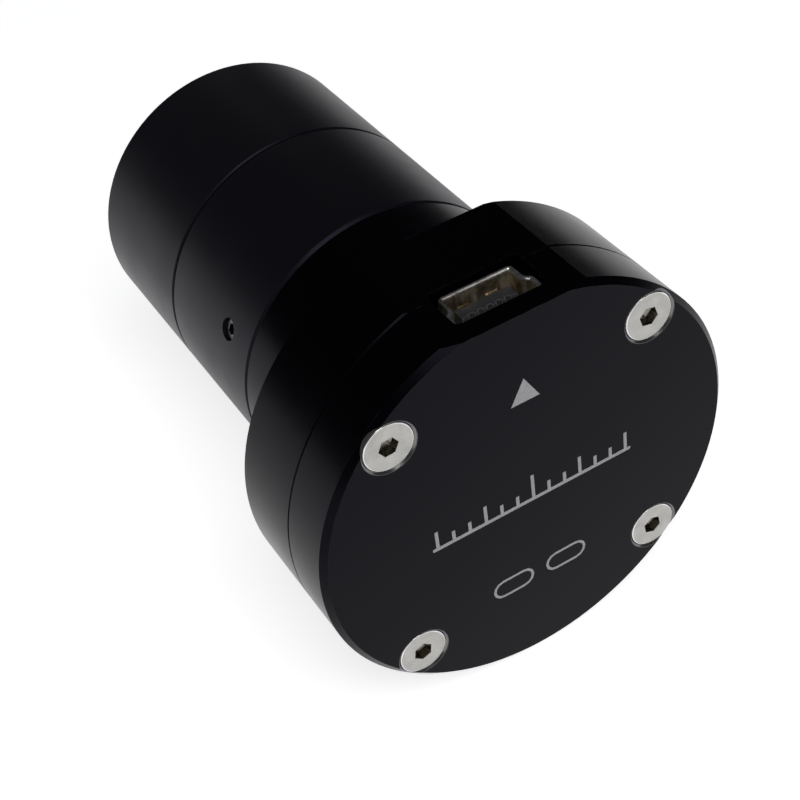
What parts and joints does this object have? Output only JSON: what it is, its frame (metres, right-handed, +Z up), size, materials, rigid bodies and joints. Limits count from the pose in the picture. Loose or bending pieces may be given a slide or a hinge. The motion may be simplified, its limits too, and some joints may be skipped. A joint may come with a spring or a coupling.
{
  "type": "guide camera",
  "caption": "Small black guide camera with a D-shaped head, a mini USB socket in its milled flat, and a straight lens barrel with a screw-locked focusing hood.",
  "frame": {"origin": "centre of the rear face, on the optical axis", "axes": "+Y along the optical axis from the rear face towards the lens, +Z up through the milled flat with the USB socket, +X to the right seen from behind"},
  "size_m": [0.038, 0.0533, 0.0369],
  "materials": {
    "black_anodised": "matte black anodised aluminium",
    "steel": "turned stainless steel",
    "dark_steel": "blackened steel",
    "nickel": "nickel plated",
    "gold": "gold plated",
    "board": "green solder mask",
    "black_plastic": "moulded black",
    "ceramic": "dark ceramic",
    "silicon": "polished silicon",
    "clear_glass": "clear glass",
    "coated_glass": "coated optical glass",
    "filter_glass": "infrared-cut coated glass",
    "rubber": "soft black foam rubber",
    "nylon": "natural nylon",
    "black_ink_parts": "chip resistor bodies",
    "tan_ceramic": "chip capacitor bodies"
  },
  "bodies": {
    "camera": {"rear_cover": "black_anodised", "cover_screws": "steel", "front_housing": "black_anodised", "circuit_board": "board", "board_screws": "steel", "usb_shell": "nickel", "usb_insulator": "black_plastic", "usb_contacts": "gold", "sensor_package": "ceramic", "sensor_die": "silicon", "sensor_glass": "clear_glass", "light_seal": "rubber", "camera_processor": "black_plastic", "flash_memory": "black_plastic", "clock_crystal": "steel", "voltage_regulator": "black_plastic", "capacitors": "tan_ceramic", "resistors": "black_ink_parts", "filter_glass": "filter_glass", "filter_ring": "black_anodised", "lens_barrel": "black_anodised"},
    "lock_tip": {"lock_pad": "nylon"},
    "lock": {"lock_screw": "dark_steel"},
    "lens_group": {"front_crown_lens": "coated_glass", "front_flint_lens": "clear_glass", "lens_spacer": "black_anodised", "aperture_stop": "black_anodised", "rear_lens": "coated_glass"},
    "focus_hood": {"lens_cell": "black_anodised", "front_lens_ring": "black_anodised", "rear_lens_ring": "black_anodised", "lens_hood": "black_anodised"}
  },
  "joints": [
    {"name": "focus_slide", "type": "slide", "parent": "camera", "child": "lens_group", "axis": [0, 1, 0], "range_m": [-0.0002, 0.002]},
    {"name": "focus_turn", "type": "hinge", "parent": "lens_group", "child": "focus_hood", "pos_m": [0, 0.04, 0], "axis": [0, 1, 0], "range_deg": [-144, 1440]},
    {"name": "lock_slide", "type": "slide", "parent": "camera", "child": "lock_tip", "axis": [-0.9135, 0, 0.4067], "range_m": [0, 0.0008]},
    {"name": "lock_turn", "type": "hinge", "parent": "lock_tip", "child": "lock", "pos_m": [-0.01142, 0.027, 0.00508], "axis": [-0.9135, 0, 0.4067], "range_deg": [0, 720]}
  ],
  "couplings": [
    {"joint": "focus_turn", "follows": "focus_slide", "rad_per_m": 12566},
    {"joint": "lock_turn", "follows": "lock_slide", "rad_per_m": 15708}
  ]
}
